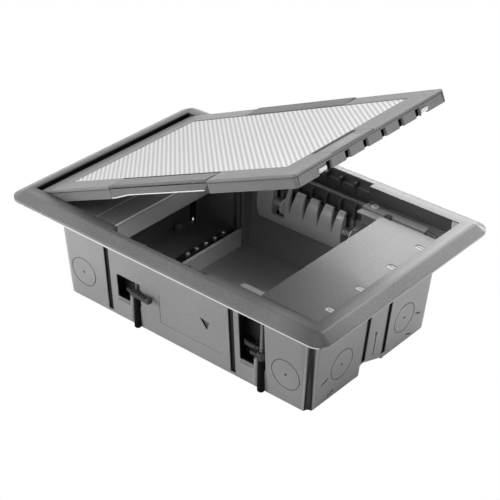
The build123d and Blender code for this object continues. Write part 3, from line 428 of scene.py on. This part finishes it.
def trim_corner_shade(tree):
    """Painted shade: a darker near corner at the free end."""
    x, y, _ = position(tree)
    a = calc(tree, "SUBTRACT", x, DARK_CORNER[0])
    b = calc(tree, "SUBTRACT", y, DARK_CORNER[1])
    away = calc(tree, "SQRT", calc(tree, "ADD", times(tree, a, a), times(tree, b, b)))
    return below(tree, away, DARK_CORNER_FADE, SHADE_SHARE)


def trim_edge_highlight(tree):
    """Painted highlight along the lower edge of the trim's near side and free end."""
    x, y, z = position(tree)
    near = below(tree, y, EDGE_NEAR)
    free = times(tree, above(tree, x, EDGE_FREE), EDGE_FREE_SHARE)
    return times(tree, below(tree, z, EDGE_TOP), largest(tree, near, free))


def trim_inner_shade(tree):
    """Painted shade, darkening towards the opening's edge."""
    x, y, _ = position(tree)
    beside = calc(tree, "SUBTRACT", calc(tree, "ABSOLUTE", y), OPENING_HALF_WIDTH)
    ahead = calc(tree, "SUBTRACT", x, OPENING_FREE)
    behind = calc(tree, "SUBTRACT", OPENING_HINGE, x)
    return below(tree, largest(tree, beside, ahead, behind), OPENING_FADE, SHADE_SHARE)


def plate_recess(tree):
    """The sunk clip places of the free end's cover plate."""
    x, _, z = position(tree)
    return times(tree, band(tree, x, CLIP_LONG), below(tree, z, CLIP_TOP))


def plate_edge_highlight(tree):
    """Painted highlights along the edge and the groove of the hinge side plate."""
    x, _, z = position(tree)
    groove = times(tree, band(tree, x, PLATE_GROOVE), PLATE_GROOVE_SHARE)
    return times(tree, largest(tree, above(tree, x, PLATE_EDGE), groove), above(tree, z, PLATE_TOP))


def plate_flange_painted_light(tree):
    """Painted light: the turned-down flange of the hinge side plate, lighter than the plate's top."""
    return times(tree, below(tree, position(tree)[2], FLANGE_TOP), FLANGE_SHARE)


def screw_cross_shade(tree):
    """Painted shade of a cross recess in the heads of the rail screws."""
    x, y, _ = position(tree)
    a = calc(tree, "ABSOLUTE", calc(tree, "SUBTRACT", x, RAIL_SCREW[0]))
    b = calc(tree, "ABSOLUTE", calc(tree, "SUBTRACT", calc(tree, "ABSOLUTE", y), RAIL_SCREW[1]))
    bars = [times(tree, below(tree, thin, CROSS_WIDTH), below(tree, long, CROSS_LENGTH))
            for thin, long in ((a, b), (b, a))]
    return largest(tree, *bars)


def comb_back_shade(tree):
    """Painted shade on the parts of a comb that lie behind its drum."""
    return above(tree, calc(tree, "ABSOLUTE", position(tree)[1]), COMB_BACK)


def paint(mat, *names):
    """Give CAD nodes one of the scene's materials."""
    for name in names:
        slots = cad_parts[name].data.materials
        slots.clear()
        slots.append(mat)


def white_to_camera(tree, kind, lit, surface):
    """Show plain white to the camera, while all other rays meet what is lit."""
    white = tree.nodes.new(kind)
    white.inputs["Strength"].default_value = 1.0
    path = tree.nodes.new("ShaderNodeLightPath")
    mix = tree.nodes.new("ShaderNodeMixShader")
    tree.links.new(path.outputs["Is Camera Ray"], mix.inputs["Fac"])
    tree.links.new(lit, mix.inputs[1])
    tree.links.new(white.outputs[0], mix.inputs[2])
    tree.links.new(mix.outputs["Shader"], surface)


def area_light(name, place, target, size, power):
    """Rectangular lamp that faces a target."""
    data = bpy.data.lights.new(name, "AREA")
    data.shape = "RECTANGLE"
    data.size, data.size_y = size
    data.energy = power
    obj = bpy.data.objects.new(name, data)
    scene.collection.objects.link(obj)
    obj.location = place
    obj.rotation_euler = (Vector(target) - Vector(place)).to_track_quat("-Z", "Y").to_euler()


paint(tub_material(), "tub")
# Trim frame: painted shade towards the opening and at the near corner, painted shadow down the hinge end, painted
# highlight on the lower edge
paint(plastic("trim_plastic", 128, rough=0.36, coat=0.25, spread=12.0,
              marks=((trim_inner_shade, 84), (trim_corner_shade, 78), (trim_hinge, 14), (trim_edge_highlight, 240))), "trim_frame")
paint(plastic("lid_plastic", 130, rough=0.36, coat=0.25, spread=10.0,
              marks=((lid_skirts, 98), (lid_lines, 45))), "lid_frame", "thumb_slide")
paint(plastic("flap_plastic", 94, rough=0.36, coat=0.25, spread=9.0), "cable_flap_near", "cable_flap_far")
paint(plastic("plate_plastic", 104, rough=0.34, spread=8.0, coat=0.35, marks=((plate_recess, 235),)),
      "latch_side_plate")
# Hinge side plate: painted light on its flange, painted highlights on its edge and groove
paint(plastic("hinge_plate_plastic", 172, rough=0.35, coat=0.3, marks=((plate_flange_painted_light, 215), (plate_edge_highlight, 252))),
      "hinge_side_plate")
paint(plastic("inner_plastic", 92, rough=0.4), "outlet_rake_near", "outlet_rake_far", "hinge_brackets")
# The divider is painted near white as painted light, standing in for the light on its face
paint(plastic("dark_plastic", 240, rough=0.5), "divider")
black = plastic("black_plastic", 8, rough=0.6, spread=3.0, specular=0.15)
# Combs: painted shade on the parts behind the drum
paint(plastic("comb_plastic", 238, rough=0.35, coat=0.4, marks=((comb_back_shade, 70),)),
      "cable_comb_near", "cable_comb_far")
paint(metal("zinc_plate", 205, rough=0.45), "comb_springs", "trim_screws", "hinge_pins", "flap_pins",
      "latch_springs", "lid_tray")
paint(metal("bright_steel", 240, rough=0.2), "earth_screws")
# Metal pins, clips, latch bar and edge strips painted near white as a painted highlight for their glint
paint(plastic("strip_metal_painted_glint", 252, rough=0.3, spread=2.0), "comb_pins", "strike_clips", "latch_bar",
      "flap_edge_strip_near", "flap_edge_strip_far")
paint(plastic("rail_plastic", 170), "rail_near", "rail_far")
claw = plastic("claw_steel", 66, rough=0.4, spread=8.0)
rod = metal("clamp_rod", 190, rough=0.35, thread=THREAD_PITCH)
# Rail screw heads painted near white as a painted highlight of bright metal, with the painted shade of a cross
paint(plastic("screw_heads_painted_glint", 250, rough=0.3, spread=3.0, marks=((screw_cross_shade, 60),)), "rail_screws")
paint(metal("earth_bar_metal", 150, tint=(1.0, 0.98, 0.92)), "earth_bar")
paint(insert_material(), "lid_insert")
for number in (1, 2, 3, 4):
    paint(claw, f"clamp_nut_{number}", f"clamp_claw_{number}")
    paint(rod, f"clamp_screw_{number}")
    paint(black, f"clamp_sleeve_{number}")

# Painted shade: black backs behind the notches of the lid's free end
back_points = []
back_faces = []
for step in NOTCH_STEPS:
    first = len(back_points)
    for dx in BACK_RUN:
        for dy in (-BACK_HALF_WIDTH, BACK_HALF_WIDTH):
            for dz in BACK_RISE:
                back_points.append((HINGE.x + dx * math.cos(LID_ANGLE) - dz * math.sin(LID_ANGLE),
                                    step * NOTCH_PITCH + dy,
                                    HINGE.z + dx * math.sin(LID_ANGLE) + dz * math.cos(LID_ANGLE)))
    back_faces += [tuple(first + corner for corner in face) for face in BACK_FACES]
back_mesh = bpy.data.meshes.new("notch_shade_sheets")
back_mesh.from_pydata(back_points, [], back_faces)
backs = bpy.data.objects.new("notch_shade_sheets", back_mesh)
scene.collection.objects.link(backs)
back_mesh.materials.append(black)
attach(backs, "lid")

# Floor, seen as plain white paper
floor_mesh = bpy.data.meshes.new("floor")
floor_corners = [(x * FLOOR_HALF, y * FLOOR_HALF, 0) for x, y in ((-1, -1), (1, -1), (1, 1), (-1, 1))]
floor_mesh.from_pydata(floor_corners, [], [(0, 1, 2, 3)])
floor = bpy.data.objects.new("floor", floor_mesh)
scene.collection.objects.link(floor)
floor.location.z = FLOOR_LEVEL
floor_mat, floor_tree, floor_shader, floor_out = new_material("floor_white")
paper = blend(floor_tree, noise(floor_tree, 60.0), (0.86, 0.86, 0.86), (0.9, 0.9, 0.9))
floor_tree.links.new(paper, floor_shader.inputs["Base Color"])
floor_shader.inputs["Roughness"].default_value = 0.9
white_to_camera(floor_tree, "ShaderNodeEmission", floor_shader.outputs["BSDF"], floor_out.inputs["Surface"])
floor.data.materials.append(floor_mat)

# Sky
world = bpy.data.worlds.new("studio")
scene.world = world
world.use_nodes = True
sky = world.node_tree
sky.nodes.clear()
sky_out = sky.nodes.new("ShaderNodeOutputWorld")
sky_light = sky.nodes.new("ShaderNodeBackground")
sky_coord = sky.nodes.new("ShaderNodeTexCoord")
sky_split = sky.nodes.new("ShaderNodeSeparateXYZ")
sky.links.new(sky_coord.outputs["Generated"], sky_split.inputs["Vector"])
sky_x, sky_y, sky_z = (sky_split.outputs[axis] for axis in "XYZ")
sky_level = ramp(sky, sky_z, SKY_RISE, HORIZON, OVERHEAD)
to_side = calc(sky, "ADD", times(sky, sky_x, SIDE.x), times(sky, sky_y, SIDE.y))
to_front = calc(sky, "ADD", times(sky, sky_x, FRONT.x), times(sky, sky_y, FRONT.y))
side_gain = calc(sky, "MULTIPLY_ADD", to_side, SIDE_GAIN, 1.0)
front_shade = ramp(sky, to_front, FRONT_FADE, 1.0, 1.0 - FRONT_LOSS)
sky.links.new(times(sky, sky_level, side_gain, front_shade), sky_light.inputs["Strength"])
white_to_camera(sky, "ShaderNodeBackground", sky_light.outputs["Background"], sky_out.inputs["Surface"])

area_light("back_soft_box", (-0.2, 1.5, 1.6), (0.0, 0.0, 0.05), (1.6, 1.0), 12.0)
area_light("back_low_box", (-0.3, 1.6, 0.75), (0.0, 0.1, 0.08), (1.6, 0.6), 17.0)
area_light("front_top_lamp", (0.22, -0.26, 0.45), (0.02, 0.05, 0.04), (0.15, 0.15), 0.62)
area_light("left_front_lamp", (-0.32, -0.45, 0.16), (-0.08, -0.09, 0.04), (0.2, 0.2), 1.1)
area_light("far_right_lamp", (0.34, 0.32, 0.10), (0.14, 0.06, 0.04), (0.15, 0.15), 0.42)

cam_data = bpy.data.cameras.new("camera")
cam_data.sensor_width = SENSOR
cam_data.lens = FOCAL_PIXELS / PHOTO_PIXELS * SENSOR
cam_data.clip_end = 20.0
camera = bpy.data.objects.new("camera", cam_data)
scene.collection.objects.link(camera)
camera.location = CAMERA_PLACE
camera.rotation_euler = [math.radians(angle) for angle in CAMERA_ANGLES]
scene.camera = camera
scene.view_settings.view_transform = "Standard"
